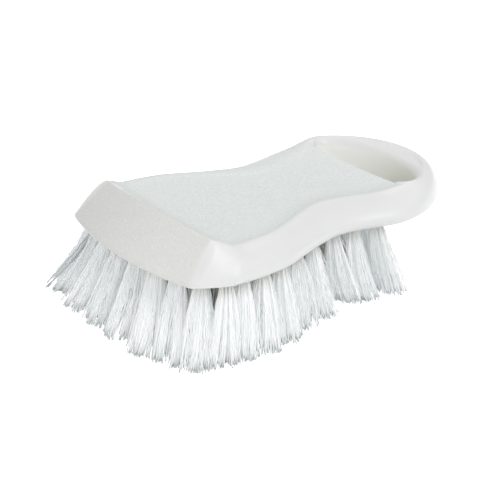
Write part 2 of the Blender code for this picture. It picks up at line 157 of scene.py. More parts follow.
# Crimp and wander of a filament on its way down
CRIMP_REACH = 0.00016
CRIMP_REACH_SPREAD = (0.6, 1.4)
CRIMP_LENGTH = 0.0068
CRIMP_LENGTH_SPREAD = (0.9, 1.1)
CRIMP_START = 0.09
CRIMP_FULL = 0.545
PHASE_SCATTER = 0.12
WANDER = 0.0007

# Stray filaments reach further out than the rest, and lift as they do
STRAY_SHARE = 0.025
STRAY_REACH = 1.9
STRAY_LIFT_SHARE = 0.7
# Strays are painted greyer: painted shade.
STRAY_PAINTED_SHADE = 0.45

# The tuft at the far front corner stands closer, with a few lone filaments beyond it
FAR_CORNER_TUFT = "tuft_row01_7"
FAR_CORNER_LEAN_SHARE = 0.75
FAR_CORNER_REACH_SHARE = 0.65
FAR_CORNER_STRAYS = 7
FAR_STRAY_REACH = (1.40, 1.75)
# The far corner's lone filaments are painted fully grey: painted shade.
LONE_PAINTED_SHADE = 1.0
LONE_THICKENING = 0.8

# The front row's tips stand this much further towards the near rear than the CAD strands' tips
FRONT_TIP_SHIFT = (0.815, -0.579)
FRONT_TIP_SHIFTS = {
    "tuft_row01_2": 0.0032,
    "tuft_row01_3": 0.0050,
    "tuft_row01_4": 0.0058,
    "tuft_row01_5": 0.0054,
    "tuft_row01_6": 0.0040,
}

# Painted shade along a filament, and over the tufts, growing with their distance from the near
# front corner
TIP_SHADE_POWER = 22.0
ROOT_SHADE_SHARE = 0.28
PAINTED_DIM_CENTRE = (-0.055, -0.037)
PAINTED_DIM_REACH = 0.090
PAINTED_DIM_SHARE = 0.15
PAINTED_DIM_POWER = 3.0

# Block plastic: pairs of colours are the ends of a blend, pairs of numbers the ends of a range
TOP_COLORS = (0.61, 0.645, 0.635), (0.83, 0.865, 0.855)
WALL_COLORS = (0.730, 0.734, 0.731), (0.760, 0.764, 0.761)
PROW_COLORS = (0.625, 0.625, 0.612), (0.755, 0.755, 0.740)
# The hole's wall is painted light on its far side and painted shade, darker and olive, towards
# its near corner.
HOLE_PAINTED_LIGHT_AND_SHADE_COLORS = (0.93, 0.93, 0.895), (0.56, 0.56, 0.455)
# The prow is painted lighter towards the near side and darker towards the far side: painted light
# and shade.
PROW_PAINTED_LIGHT = (0.96, 1.06)
# The wall gets a painted highlight along the stippled top's near rim.
CREST_PAINTED_HIGHLIGHT = (1.005, 1.055)
# The stippled top gets painted shade, darker towards its front and near rims.
MARGIN_PAINTED_SHADE = (1.0, 0.925)
# The hole's wall glows on its far side, a painted light, fading to none towards the near side.
HOLE_PAINTED_GLOW = (0.060, 0.0)
HOLE_PAINTED_GLOW_COLOR = (0.95, 0.95, 0.92)
BLOCK_ROUGHNESS = (0.28, 0.62)
BLOCK_SPECULAR = 0.4
BUMP_STRENGTH = (0.03, 0.9)
BUMP_DISTANCE = 0.0003
STIPPLE_NOISE = {"Scale": 950.0, "Detail": 2.0, "Roughness": 0.6}
CLOUD_NOISE = {"Scale": 45.0, "Detail": 3.0}

# Bristle: plain white, with painted shade: greyer at the cut tips and darker at the hidden roots
FILAMENT_COLORS = (0.985, 0.993, 0.995), (0.998, 1.0, 1.0)
TIP_PAINTED_SHADE_COLOR = (0.66, 0.70, 0.705)
# Painted shade at the hidden roots of the outer tufts, and over the whole of each inner tuft.
DEEP_PAINTED_SHADE_COLOR = (0.70, 0.70, 0.65)
# A painted glow brightens the filaments, with none where shade is painted at tips, strays and
# hidden roots.
FILAMENT_PAINTED_GLOW = (0.112, 0.0)
FILAMENT_PAINTED_GLOW_COLOR = (0.93, 0.985, 1.0)
FILAMENT_ROUGHNESS = 0.35

# Studio: a white floor and world, and lamps as (azimuth, elevation, distance, size, watts)
FLOOR_HALF_SIZE = 3.0
FLOOR_COLOR = (0.92, 0.92, 0.92)
FLOOR_ROUGHNESS = 0.9
FLOOR_GLOW = 0.75
WORLD_LEVELS = (0.62, 1.0)
LIGHT_BOUNCES = 32
LAMPS = {
    "key": (6.0, 38.0, 1.2, 0.7, 2.6),
    "high": (6.0, 60.0, 1.2, 0.9, 3.3),
    "fill": (-75.0, 10.0, 0.7, 0.5, 0.70),
    "back": (165.0, 50.0, 1.2, 1.0, 1.9),
}

# Camera, as fitted to the photograph
CAMERA_AZIMUTH = -35.4
CAMERA_ELEVATION = 23.4
CAMERA_DISTANCE = 0.620
CAMERA_LENS = 112.5
CAMERA_SENSOR = 36.0
CAMERA_CLIP_END = 10.0
TARGET_FROM_BLOCK = (-0.0205, -0.0053, 0.0250)


def smooth(value):
    """0 below 0, 1 above 1, and a smooth step between."""
    value = min(max(value, 0.0), 1.0)
    return value * value * (3.0 - 2.0 * value)


def spline(knots, at):
    """A smooth curve through (x, y) knots, with slopes that never overshoot."""
    xs = np.array([knot[0] for knot in knots])
    ys = np.array([knot[1] for knot in knots])
    steps = np.diff(xs)
    slopes = np.diff(ys) / steps
    tangents = np.zeros(len(xs))
    for i in range(1, len(xs) - 1):
        if slopes[i - 1] * slopes[i] > 0:
            tangents[i] = 2 * slopes[i - 1] * slopes[i] / (slopes[i - 1] + slopes[i])
    tangents[0] = 1.5 * slopes[0] - 0.5 * tangents[1]
    i = int(min(max(np.searchsorted(xs, at) - 1, 0), len(steps) - 1))
    t = min(max((at - xs[i]) / steps[i], 0.0), 1.0)
    return (
        (1 + 2 * t) * (1 - t) ** 2 * ys[i]
        + t * (1 - t) ** 2 * steps[i] * tangents[i]
        + t * t * (3 - 2 * t) * ys[i + 1]
        + t * t * (t - 1) * steps[i] * tangents[i + 1]
    )


class Block:
    """The block's shape in its own plan: x from its middle, z from its underside."""

    tail_x = BLOCK_LENGTH / 2 - TAIL_HALF_WIDTH
    corner_x = -BLOCK_LENGTH / 2 + FRONT_BOW
    ridge_x = corner_x + RIDGE_SETBACK
    length = tail_x - corner_x
    hole_x = BLOCK_LENGTH / 2 - LOOP_END_WALL - HOLE_DEPTH_X
    hole_half_width = TAIL_HALF_WIDTH - LOOP_SIDE_WALL

    def __init__(self):
        self.outline = [(self.corner_x, FRONT_HALF_WIDTH)]
        for along, out in BULGE_OUTLINE_SHARES:
            width = WAIST_HALF_WIDTH + out * (BULGE_HALF_WIDTH - WAIST_HALF_WIDTH)
            self.outline.append((self.corner_x + along * self.length, width))
        self.outline.append((self.corner_x + WAIST_SHARE * self.length, WAIST_HALF_WIDTH))
        for along, out in TAIL_OUTLINE_SHARES:
            width = WAIST_HALF_WIDTH + out * (TAIL_HALF_WIDTH - WAIST_HALF_WIDTH)
            self.outline.append((self.corner_x + along * self.length, width))
        self.outline.append((self.tail_x, TAIL_HALF_WIDTH))

    def half_width(self, x):
        if x > self.tail_x:
            return math.sqrt(max(TAIL_HALF_WIDTH**2 - (x - self.tail_x) ** 2, 0.0))
        return spline(self.outline, x)

    def step_along(self, x, shares):
        start_x, end_x = (self.corner_x + share * self.length for share in shares)
        return smooth((x - start_x) / (end_x - start_x))

    def shoulder(self, x):
        wide = self.step_along(x, SHOULDER_WIDEN_SHARES) * (WAIST_SHOULDER - BULGE_SHOULDER)
        wide += BULGE_SHOULDER
        return wide + self.step_along(x, SHOULDER_NARROW_SHARES) * (LOOP_SHOULDER - wide)

    def foot_radius(self, x):
        share = smooth((x - self.corner_x) / self.length)
        return FRONT_FOOT_RADIUS + share * (TAIL_FOOT_RADIUS - FRONT_FOOT_RADIUS)

    def rim_thickness(self, x):
        low_x = self.ridge_x + RIM_LOW_SHARE * self.length
        fall = 1.0 - smooth((x - self.ridge_x) / (low_x - self.ridge_x))
        low = self.step_along(x, RIM_RISE_SHARES) * (TAIL_THICKNESS - WAIST_THICKNESS)
        low += WAIST_THICKNESS
        return low + fall * (RIDGE_THICKNESS - low)


SHAPE = Block()


class Station:
    """One vertical rib of the wall: where it stands on the outline, and where its rim is."""

    def __init__(self, x, y, normal, rim, setback=0.0):
        self.x, self.y, self.normal, self.rim, self.setback = x, y, normal, rim, setback
        self.foot = SHAPE.foot_radius(x)
        self.rim_height = SHAPE.rim_thickness(rim[0])

    def at(self, inset, height, lean):
        share = height / self.rim_height
        x = self.x + self.normal[0] * inset + self.setback * share
        y = self.y + self.normal[1] * inset
        x += lean * (self.rim[0] - self.setback - self.x)
        y += lean * (self.rim[1] - self.y)
        return Vector((x, y, height))

    def profile(self):
        """(inset, height, lean) from the foot up to the rim."""
        levels = []
        for turn in FOOT_TURNS_DEGREES[::-1]:
            angle = math.radians(90.0 - turn)
            inset, height = self.foot * (1 - math.sin(angle)), self.foot * (1 - math.cos(angle))
            levels.append((inset, height, 0.0))
        levels = sorted(levels, key=lambda level: level[1])
        for step in range(SHOULDER_STEPS + 1):
            angle = math.pi / 2 * step / SHOULDER_STEPS
            height = self.foot + (self.rim_height - self.foot) * math.sin(angle)
            levels.append((0.0, height, 1 - math.cos(angle)))
        return levels

    def points(self):
        return [self.at(*level) for level in self.profile()]


def tail_station(angle):
    c, s = math.cos(angle), math.sin(angle)
    x, y = SHAPE.tail_x + TAIL_HALF_WIDTH * c, TAIL_HALF_WIDTH * s
    reach = TAIL_HALF_WIDTH - SHAPE.shoulder(x) * s * s - TAIL_SHOULDER * c * c
    return Station(x, y, (-c, -s), (SHAPE.tail_x + reach * c, reach * s))


def side_stations(side):
    stations = []
    for i in range(SIDE_STATIONS + 1):
        along = i / SIDE_STATIONS
        crowded = along - STATION_CROWDING_SHARE * along * (1 - along)
        x = SHAPE.corner_x + SHAPE.length * crowded
        faded = smooth((x - SHAPE.corner_x) / (SETBACK_FADE_SHARE * SHAPE.length))
        setback = RIDGE_SETBACK * (1 - faded)
        rim_x = x + setback
        rim_y = RIDGE_HALF_WIDTH
        if i > 0:
            ridge_inset = RIDGE_HALF_WIDTH - SHAPE.half_width(SHAPE.ridge_x) + BULGE_SHOULDER
            rim_y = SHAPE.half_width(rim_x) - SHAPE.shoulder(rim_x)
            rim_y += ridge_inset * setback / RIDGE_SETBACK
        at_y = side * SHAPE.half_width(x)
        stations.append(Station(x, at_y, (0.0, -side), (rim_x, side * rim_y), setback))
    for i in range(1, TAIL_STATIONS + 1):
        angle = math.radians(90.0 - TAIL_ARC_DEGREES) * i / TAIL_STATIONS
        stations.append(tail_station(side * (math.pi / 2 - angle)))
    return stations


def front_stations():
    stations = []
    for j in range(1, ACROSS):
        share = 2 * j / ACROSS - 1
        x = SHAPE.corner_x - FRONT_BOW * (1 - share * share)
        rim = (SHAPE.ridge_x, share * RIDGE_HALF_WIDTH)
        stations.append(Station(x, share * FRONT_HALF_WIDTH, (1.0, 0.0), rim, SHAPE.ridge_x - x))
    return stations


def tail_stations():
    reach = math.radians(TAIL_ARC_DEGREES)
    return [tail_station(reach * (2 * j / ACROSS - 1)) for j in range(1, ACROSS)]


def corner_points(station, sign):
    """The prow's corner rib, a straight line from the foot to the end of the ridge."""
    foot = Vector((station.x, sign * FRONT_HALF_WIDTH, 0.0))
    ridge = Vector((SHAPE.ridge_x, sign * RIDGE_HALF_WIDTH, station.rim_height))
    points = []
    for inset, height, _ in station.profile():
        point = foot.lerp(ridge, height / station.rim_height)
        points.append(point + Vector((inset, -sign * inset, 0.0)))
    return points


def dished_patch(front, rear, near, far):
    """A grid filled in between four edges that meet at their ends, sunk to its middle line."""
    rows = []
    for i in range(len(near)):
        u = i / (len(near) - 1)
        row = []
        for j in range(len(front)):
            v = j / (len(front) - 1)
            across = near[i].lerp(far[i], v) + front[j].lerp(rear[j], u)
            corners = front[0].lerp(rear[0], u).lerp(front[-1].lerp(rear[-1], u), v)
            point = across - corners
            if 0 < i < len(near) - 1 and 0 < j < len(front) - 1:
                point.z = SHAPE.rim_thickness(point.x) - DISH_DEPTH * (1 - (2 * v - 1) ** 2)
            row.append(point)
        rows.append(row)
    return rows


def block_bmesh():
    near, far = side_stations(-1), side_stations(1)
    front, rear = front_stations(), tail_stations()
    loop = near + rear + far[::-1] + front[::-1]
    columns = [station.points() for station in loop]
    for at, sign in ((0, -1), (len(near) + len(rear) + len(far) - 1, 1)):
        columns[at] = corner_points(loop[at], sign)
    bm = bmesh.new()
    rings = [[bm.verts.new(column[k]) for column in columns] for k in range(len(columns[0]))]
    for low, high in zip(rings, rings[1:]):
        for i in range(len(loop)):
            n = (i + 1) % len(loop)
            bm.faces.new((low[i], low[n], high[n], high[i]))
    bm.faces.new(rings[0][::-1])
    rim = rings[-1]
    a, b, c = len(near), len(near) + len(rear), len(near) + len(rear) + len(far)
    near_rim, rear_rim = rim[:a], [rim[a - 1]] + rim[a:b] + [rim[b]]
    far_rim, front_rim = rim[b:c][::-1], [rim[0]] + rim[c:][::-1] + [rim[c - 1]]
    rims = (front_rim, rear_rim, near_rim, far_rim)
    points = dished_patch(*([vert.co.copy() for vert in edge] for edge in rims))
    grid = [front_rim]
    for i, row in enumerate(points[1:-1], 1):
        grid.append([near_rim[i]] + [bm.verts.new(point) for point in row[1:-1]] + [far_rim[i]])
    grid.append(rear_rim)
    for low, high in zip(grid, grid[1:]):
        for j in range(ACROSS):
            bm.faces.new((low[j], high[j], high[j + 1], low[j + 1]))
    bmesh.ops.recalc_face_normals(bm, faces=bm.faces)
    return bm


def hole_outline(grow, draft):
    front_grow = grow * HOLE_FRONT_MOUTH_SHARE
    points = []
    for side in (-1, 1):
        centre_y = side * (SHAPE.hole_half_width - HOLE_MOUTH_RADIUS - HOLE_CORNER)
        for step in range(HOLE_CORNER_STEPS + 1):
            turn = math.radians(90.0) * step / HOLE_CORNER_STEPS
            turn = turn if side > 0 else math.radians(90.0) - turn
            x = SHAPE.hole_x + HOLE_CORNER - (HOLE_CORNER + front_grow) * math.cos(turn)
            points.append((x, centre_y + side * (HOLE_CORNER + grow) * math.sin(turn)))
    reach = HOLE_DEPTH_X - HOLE_MOUTH_RADIUS - HOLE_CORNER + grow - draft
    for step in range(1, HOLE_STEPS):
        turn = math.pi / 2 - math.pi * step / HOLE_STEPS
        y = (SHAPE.hole_half_width - HOLE_MOUTH_RADIUS + grow) * math.sin(turn)
        points.append((SHAPE.hole_x + HOLE_CORNER + reach * math.cos(turn), y))
    return points


def quarter_round(radius):
    """(depth, grow) of a rounded mouth: how much wider it is at each depth."""
    angles = [math.radians(90.0) * step / MOUTH_STEPS for step in range(MOUTH_STEPS + 1)]
    return [(radius * (1 - math.cos(angle)), radius * (1 - math.sin(angle))) for angle in angles]


def hole_cutter_bmesh():
    mouth = [(TAIL_THICKNESS - depth, grow) for depth, grow in quarter_round(HOLE_MOUTH_RADIUS)]
    levels = [(-CUT_OVERRUN, HOLE_FOOT_RADIUS)] + quarter_round(HOLE_FOOT_RADIUS) + mouth[::-1]
    levels.append((TAIL_THICKNESS + CUT_OVERRUN, HOLE_MOUTH_RADIUS))
    bm = bmesh.new()
    rings = []
    for z, grow in levels:
        draft = HOLE_TAIL_DRAFT * min(max(1 - z / TAIL_THICKNESS, 0.0), 1.0)
        rings.append([bm.verts.new((x, y, z)) for x, y in hole_outline(grow, draft)])
    for low, high in zip(rings, rings[1:]):
        for i in range(len(low)):
            n = (i + 1) % len(low)
            bm.faces.new((low[i], low[n], high[n], high[i]))
    bm.faces.new(rings[0][::-1])
    bm.faces.new(rings[-1])
    bmesh.ops.recalc_face_normals(bm, faces=bm.faces)
    return bm


def add_mesh_object(name, bm):
    mesh = bpy.data.meshes.new(name)
    bm.to_mesh(mesh)
    bm.free()
    obj = bpy.data.objects.new(name, mesh)
    bpy.context.scene.collection.objects.link(obj)
    return obj


class Root:
    """A tuft's place, read from its CAD node: the middles of its root and of its tips."""

    def __init__(self, name, node, block_z):
        points = [vert.co for vert in node.data.vertices]
        near = LEVEL_TOLERANCE
        self.name = name
        self.root = self.middle([p for p in points if abs(p.z - block_z) < near])
        self.tip = self.middle([p for p in points if abs(p.z) < near])
        tips = len({(round(p.x, 5), round(p.y, 5)) for p in points if abs(p.z) < near})
        self.outer = tips > INNER_TIP_CORNERS

    @staticmethod
    def middle(points):
        low = Vector(map(min, *points))
        high = Vector(map(max, *points))
        return (low + high) / 2

    def at(self, z):
        share = (self.root.z - z) / (self.root.z - self.tip.z)
        lean = (self.tip - self.root) * share * bend_share(share)
        return Vector((self.root.x + lean.x, self.root.y + lean.y, z))


def bend_share(down):
    """The share of its straight lean that a tuft has on its way down: it bends to its tips."""
    return ROOT_LEAN_SHARE + (1 - ROOT_LEAN_SHARE) * np.clip(down, 0.0, 1.0)


def cut(target, cutter):
    modifier = target.modifiers.new("cut", "BOOLEAN")
    modifier.operation = "DIFFERENCE"
    modifier.solver = "EXACT"
    modifier.object = cutter


def tuft_holes_bmesh(roots, origin):
    bm = bmesh.new()
    for root in roots:
        made = bmesh.ops.create_cone(
            bm, cap_ends=True, segments=TUFT_HOLE_SIDES, radius1=TUFT_HOLE_RADIUS,
            radius2=TUFT_HOLE_RADIUS, depth=TUFT_HOLE_DEPTH + CUT_OVERRUN,
        )
        for vert in made["verts"]:
            z = root.root.z + (TUFT_HOLE_DEPTH if vert.co.z > 0 else -CUT_OVERRUN)
            centre = root.at(z)
            vert.co = Vector((centre.x + vert.co.x, centre.y + vert.co.y, z)) - origin
    return bm


def make_block(origin, roots):
    block = add_mesh_object("moulded_block", block_bmesh())
    bevel = block.modifiers.new("edges", "BEVEL")
    bevel.width = EDGE_BEVEL
    bevel.segments = EDGE_BEVEL_SEGMENTS
    bevel.limit_method = "ANGLE"
    bevel.angle_limit = math.radians(EDGE_BEVEL_FROM_DEGREES)
    fine = block.modifiers.new("fine", "SUBSURF")
    fine.subdivision_type = "SIMPLE"
    fine.levels = fine.render_levels = 1
    cutters = [
        add_mesh_object("hanging_hole_cutter", hole_cutter_bmesh()),
        add_mesh_object("tuft_hole_cutters", tuft_holes_bmesh(roots, origin)),
    ]
    for cutter in cutters:
        cut(block, cutter)
    bpy.context.view_layer.update()
    graph = bpy.context.evaluated_depsgraph_get()
    final = bpy.data.meshes.new_from_object(block.evaluated_get(graph))
    block.modifiers.clear()
    block.data = final
    for cutter in cutters:
        bpy.data.objects.remove(cutter, do_unlink=True)
    final.transform(Matrix.Translation(origin))
    final.shade_smooth()
    final.set_sharp_from_angle(angle=math.radians(SHARP_FROM_DEGREES))
    mark_surfaces(final, origin)
    sink_panel(final, origin)
    return block


def grip_share(p, beyond=0.0):
    """1 on the stippled top, falling to 0 beyond its rim, at the ridge and at the hole."""
    rim_y = SHAPE.half_width(p.x) - SHAPE.shoulder(p.x) + beyond if p.x < SHAPE.hole_x else 0.0
    if p.y < 0:
        rim_y -= NEAR_BAND * smooth((NEAR_BAND_END_X - p.x) / NEAR_BAND_FADE)
    behind_ridge = p.x - SHAPE.ridge_x - RIDGE_BAND
    inside = min(rim_y - abs(p.y), behind_ridge, SHAPE.hole_x - p.x + GRIP_HOLE_MARGIN)
    high = p.z - (SHAPE.rim_thickness(p.x) - 2 * DISH_DEPTH - beyond)
    return smooth(0.5 + inside / GRIP_FADE) * smooth(high / GRIP_FADE_DOWN)


def prow_share(p):
    """1 on the slanted front face, 0 behind the ridge and outside the two corner ribs."""
    up = min(max(p.z / RIDGE_THICKNESS, 0.0), 1.0)
    rib_y = FRONT_HALF_WIDTH + up * (RIDGE_HALF_WIDTH - FRONT_HALF_WIDTH)
    ahead = smooth((SHAPE.ridge_x - p.x) / PROW_FADE + 1)
    return ahead * smooth((rib_y - abs(p.y)) / PROW_FADE)


def hole_share(p, normal):
    """1 on the hanging hole's wall below its rounded mouth, 0 elsewhere."""
    within_x = smooth((p.x - SHAPE.hole_x) / HOLE_FADE + 1)
    within_y = smooth((SHAPE.hole_half_width - abs(p.y)) / HOLE_FADE + 1)
    middle_x = SHAPE.hole_x + HOLE_MIDDLE_SHARE * HOLE_DEPTH_X
    inward = -(normal.x * (p.x - middle_x) + normal.y * p.y)
    deep = smooth((TAIL_THICKNESS - HOLE_RIM_DEPTH - p.z) / HOLE_RIM_FADE)
    return within_x * within_y * deep * smooth(inward / HOLE_FACING_REACH)


def from_near_rim(p):
    """How far a point lies inside the near rim of the stippled top, less than 0 outside it."""
    return SHAPE.half_width(p.x) - SHAPE.shoulder(p.x) + p.y


def painted_margin_shade_share(p):
    """1 at the stippled top's front and near rims and outside them, falling to 0 further in:
    where shade is painted on the top.
    """
    return smooth(1 - min(from_near_rim(p), p.x - SHAPE.ridge_x - RIDGE_BAND) / MARGIN_REACH)


def painted_crest_highlight_share(p):
    """1 along the stippled top's near rim, falling to 0 to both sides and beside the hole: where
    a highlight is painted on the wall.
    """
    beside_hole = smooth(1 + (SHAPE.hole_x - p.x) / CREST_REACH)
    return beside_hole * smooth(1 - abs(from_near_rim(p)) / CREST_REACH)


def sink_panel(mesh, origin):
    """The stippled panel lies a little lower than the smooth rim around it."""
    for vert in mesh.vertices:
        vert.co.z -= PANEL_DEPTH * grip_share(vert.co - origin)


def mark_surfaces(mesh, origin):
    """Point values that the block's material reads, each from 0 to 1."""
    shares = {"grip": [], "prow": [], "hollow": [], "near": [], "painted_margin_shade": [], "painted_crest_highlight": []}
    for vert in mesh.vertices:
        p = vert.co - origin
        # On the far side the panel's darker colour reaches further out, as painted shade.
        shares["grip"].append(grip_share(p, GRIP_FAR_PAINTED_SHADE_REACH if p.y > 0 else 0.0))
        shares["prow"].append(prow_share(p))
        shares["hollow"].append(hole_share(p, vert.normal))
        # The ramp across the block for the painted light and shade on the prow and in the hole.
        shares["near"].append(smooth(0.5 - p.y / PAINTED_LIGHT_SIDE_REACH))
        # Where shade is painted on the stippled top.
        shares["painted_margin_shade"].append(painted_margin_shade_share(p))
        # Where a highlight is painted on the wall along the near rim.
        shares["painted_crest_highlight"].append(painted_crest_highlight_share(p))
    for name, values in shares.items():
        mesh.attributes.new(name, "FLOAT", "POINT").data.foreach_set("value", values)


def unit_disc(rng, count):
    """Random points spread over a disc of radius 1, with a few more towards its edge."""
    reach, turn = rng.random(count) ** DISC_POWER, 2 * math.pi * rng.random(count)
    return np.stack((reach * np.cos(turn), reach * np.sin(turn)), axis=1)


def tuft_ends(root, rng, count):
    """Where a tuft's filaments start and end beside its middle line, its lean and its strays."""
    lock = np.arange(count) % LOCKS
    spots = (1 - LOCK_RADIUS_SHARE) * unit_disc(rng, LOCKS)[lock]
    spots += LOCK_RADIUS_SHARE * unit_disc(rng, count)
    lean = np.array((root.tip.x - root.root.x, root.tip.y - root.root.y))
    outward = lean / np.linalg.norm(lean) if root.outer else np.array((1.0, 0.0))
    along = np.array((-outward[1], outward[0]))
    start = ROOT_RADIUS * (spots[:, :1] * outward + spots[:, 1:] * along)
    end = TIP_REACH_OUTWARD * spots[:, :1] * outward + TIP_REACH_ALONG * spots[:, 1:] * along
    end += rng.normal(0.0, TIP_SCATTER, (count, 2))
    stray = rng.random(count) < STRAY_SHARE
    end[stray] *= STRAY_REACH
    lean = lean + FRONT_TIP_SHIFTS.get(root.name, 0.0) * np.array(FRONT_TIP_SHIFT)
    if root.name == FAR_CORNER_TUFT:
        stray = np.arange(count) < FAR_CORNER_STRAYS
        lean, end = lean * FAR_CORNER_LEAN_SHARE, end * FAR_CORNER_REACH_SHARE
        beyond = TIP_REACH_OUTWARD * rng.uniform(*FAR_STRAY_REACH, FAR_CORNER_STRAYS)
        end[stray] += outward * beyond[:, None]
    tips = np.array(root.root[:2]) + lean + end
    over = np.clip(np.abs(tips) - np.array(TIP_LIMIT), 0.0, None)
    end -= np.sign(tips) * over * (1 + rng.random((count, 2)))
    return start, end, lean, stray


def tip_heights(root, rng, lean, end, stray):
    """Ragged tips; a stray filament keeps its length, so its tip lifts as it reaches out."""
    heights = TIP_RAGGED * rng.random(len(end)) ** TIP_RAGGED_POWER
    length = math.hypot(root.root.z, math.dist(root.tip[:2], root.root[:2]))
    reach = ((lean + end[stray]) ** 2).sum(axis=1)
    drop = np.sqrt(np.clip(length ** 2 - reach, 0.0, root.root.z ** 2))
    heights[stray] += STRAY_LIFT_SHARE * (root.root.z - drop)
    return heights


def filament_paths(root, rng):
    """Centre lines of a tuft's filaments, as a (filaments, rings, 3) array, and its strays."""
    count = OUTER_FILAMENTS if root.outer else INNER_FILAMENTS
    start, end, lean, stray = tuft_ends(root, rng, count)
    tip_z = tip_heights(root, rng, lean, end, stray)
    lock = np.arange(count) % LOCKS
    phases = [
        2 * math.pi * (rng.random(LOCKS)[lock] + PHASE_SCATTER * rng.random(count))
        for _ in range(2)
    ]
    turns = root.root.z / CRIMP_LENGTH * rng.uniform(*CRIMP_LENGTH_SPREAD, count)
    swing = CRIMP_REACH * rng.uniform(*CRIMP_REACH_SPREAD, count)
    wander = rng.normal(0.0, WANDER, (2, LOCKS))[:, lock, None]

    share = np.linspace(0.0, 1.0, FILAMENT_RINGS)
    top_z = root.root.z + ROOT_DEPTH
    z = top_z + (tip_z[:, None] - top_z) * share[None, :]
    down = np.clip((root.root.z - z) / root.root.z, -1.0, 1.0)
    fan = np.clip(down, 0.0, 1.0) ** FAN_POWER
    bow = np.sin(math.pi * share)[None, :] * wander
    grown = np.clip((share - CRIMP_START) / (CRIMP_FULL - CRIMP_START), 0.0, 1.0)
    grown = grown[None, :] * swing[:, None]
    path = np.empty((count, FILAMENT_RINGS, 3))
    path[..., 2] = z
    for axis, phase in enumerate(phases):
        path[..., axis] = root.root[axis] + lean[axis] * down * bend_share(down)
        path[..., axis] += start[:, axis, None] * (1 - fan) + end[:, axis, None] * fan
        crimp = np.sin(phase[:, None] + 2 * math.pi * turns[:, None] * share[None, :])
        path[..., axis] += bow[axis] + grown * crimp
    return path, stray


def tube_faces(count, rings, sides):
    """The quads and end caps of closed tubes whose points follow tube by tube, ring by ring."""
    base = (np.arange(count) * rings * sides)[:, None, None]
    low = base + (np.arange(rings - 1) * sides)[None, :, None]
    corner = np.arange(sides)[None, None, :]
    following = (corner + 1) % sides
    quad = (low + corner, low + sides + corner, low + sides + following, low + following)
    first = base[:, :, 0] + np.arange(sides)[None, :]
    last = first[:, ::-1] + (rings - 1) * sides
    return np.stack(quad, axis=-1).reshape(-1, 4).tolist() + first.tolist() + last.tolist()


def tuft_painted_shades(root, stray, rings):
    """Painted shade on each filament: greyer at its tip, on strays and on tufts far from the near
    front corner, and darker at a hidden root and all over an inner tuft.
    """
    share = np.linspace(0.0, 1.0, rings)
    # Painted shade grows on tufts further from the near front corner.
    away = min(math.dist(root.root[:2], PAINTED_DIM_CENTRE) / PAINTED_DIM_REACH, 1.0)
    # Strays get painted shade, fully grey at the far corner.
    painted_shade = stray * (LONE_PAINTED_SHADE if root.name == FAR_CORNER_TUFT else STRAY_PAINTED_SHADE)
    painted_shade = np.maximum(painted_shade, PAINTED_DIM_SHARE * away ** PAINTED_DIM_POWER)
    tip = np.maximum(share ** TIP_SHADE_POWER, painted_shade[:, None])
    # Painted shade: the outer tufts darker towards their hidden roots, the inner tufts darker all
    # over.
    deep = np.broadcast_to(np.clip(1.0 - share / ROOT_SHADE_SHARE, 0.0, 1.0), tip.shape)
    return tip, deep if root.outer else np.ones(tip.shape)


def make_tuft(root, rng, material):
    """One mesh of closed three-sided filaments, each with its own shade value."""
    path, stray = filament_paths(root, rng)
    count, rings, sides = path.shape[0], path.shape[1], FILAMENT_SIDES
    corner = np.arange(sides)[None, None, :] / sides
    turn = 2 * math.pi * (rng.random(count)[:, None, None] + corner)
    ring = np.stack((np.cos(turn), np.sin(turn), np.zeros_like(turn)), axis=-1)
    thick = FILAMENT_RADIUS * rng.uniform(*THICKNESS_SPREAD, count)
    if root.name == FAR_CORNER_TUFT:
        thick *= 1 + LONE_THICKENING * stray
    ring = thick[:, None, None, None] * np.broadcast_to(ring, (count, rings, sides, 3))
    verts = path[:, :, None, :] + ring
    mesh = bpy.data.meshes.new(root.name + "_filaments")
    mesh.from_pydata(verts.reshape(-1, 3).tolist(), [], tube_faces(count, rings, sides))
    shade = np.broadcast_to(rng.random(count)[:, None], (count, rings))
    tip, deep = tuft_painted_shades(root, stray, rings)
    for label, values in (("shade", shade), ("tip", tip), ("deep", deep)):
        values = np.repeat(values.reshape(-1), sides).astype(np.float32)
        mesh.attributes.new(label, "FLOAT", "POINT").data.foreach_set("value", values)
    mesh.shade_smooth()
    mesh.materials.append(material)
    obj = bpy.data.objects.new(root.name + "_filaments", mesh)
    bpy.context.scene.collection.objects.link(obj)
    return obj


def node_tree(name):
    material = bpy.data.materials.new(name)
    material.use_nodes = True
    tree = material.node_tree
    return material, tree, tree.nodes["Principled BSDF"]


def opaque(color):
    return (*color, 1.0)


def point_value(tree, name):
    """A value that the mesh carries at its points."""
    node = tree.nodes.new("ShaderNodeAttribute")
    node.attribute_name = name
    return node.outputs["Fac"]


def noise(tree, place, settings):
    node = tree.nodes.new("ShaderNodeTexNoise")
    for name, value in settings.items():
        node.inputs[name].default_value = value
    tree.links.new(place, node.inputs["Vector"])
    return node.outputs["Fac"]


def blend(tree, factor, *colors):
    """A colour from the first to the second; each is a plain colour or a node's output."""
    node = tree.nodes.new("ShaderNodeMix")
    node.data_type = "RGBA"
    tree.links.new(factor, node.inputs["Factor"])
    for name, color in zip("AB", colors):
        if isinstance(color, tuple):
            node.inputs[name].default_value = opaque(color)
        else:
            tree.links.new(color, node.inputs[name])
    return node.outputs["Result"]


def ranged(tree, factor, ends):
    """A number from the first end to the second as the factor goes from 0 to 1."""
    node = tree.nodes.new("ShaderNodeMapRange")
    node.inputs["To Min"].default_value, node.inputs["To Max"].default_value = ends
    tree.links.new(factor, node.inputs["Value"])
    return node.outputs["Result"]


def scaled(tree, color, factor):
    node = tree.nodes.new("ShaderNodeVectorMath")
    node.operation = "SCALE"
    tree.links.new(color, node.inputs["Vector"])
    tree.links.new(factor, node.inputs["Scale"])
    return node.outputs["Vector"]


def combined(tree, operation, first, second):
    node = tree.nodes.new("ShaderNodeMath")
    node.operation = operation
    tree.links.new(first, node.inputs[0])
    tree.links.new(second, node.inputs[1])
    return node.outputs[0]


